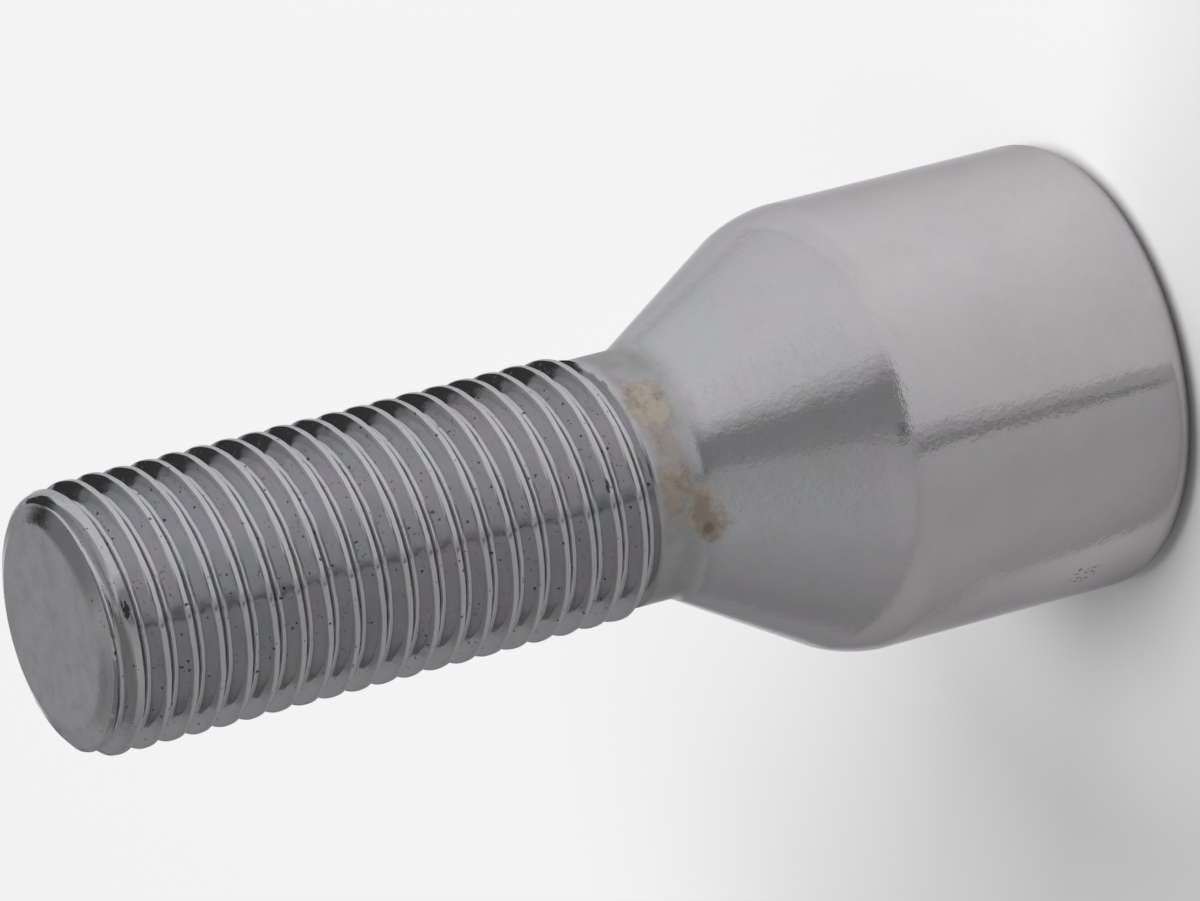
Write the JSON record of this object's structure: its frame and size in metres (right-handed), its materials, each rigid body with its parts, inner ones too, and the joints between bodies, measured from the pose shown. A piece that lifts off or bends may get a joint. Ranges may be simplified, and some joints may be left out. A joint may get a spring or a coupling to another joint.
{
  "type": "wheel bolt",
  "caption": "Chrome-plated round-head wheel bolt with a conical seat, a plain neck, a fine metric thread and a hexagon socket in its head.",
  "frame": {"origin": "middle of the head's flat end face, on which the bolt stands", "axes": "+Z along the bolt's axis from the head to the thread's tip; two of the socket's flats face +Y and -Y"},
  "size_m": [0.0236, 0.0236, 0.0602],
  "materials": {
    "chrome_plate": "polished, with fine pits and a rust stain at the neck"
  },
  "bodies": {
    "root": {"wheel_bolt": "chrome_plate"}
  },
  "joints": []
}
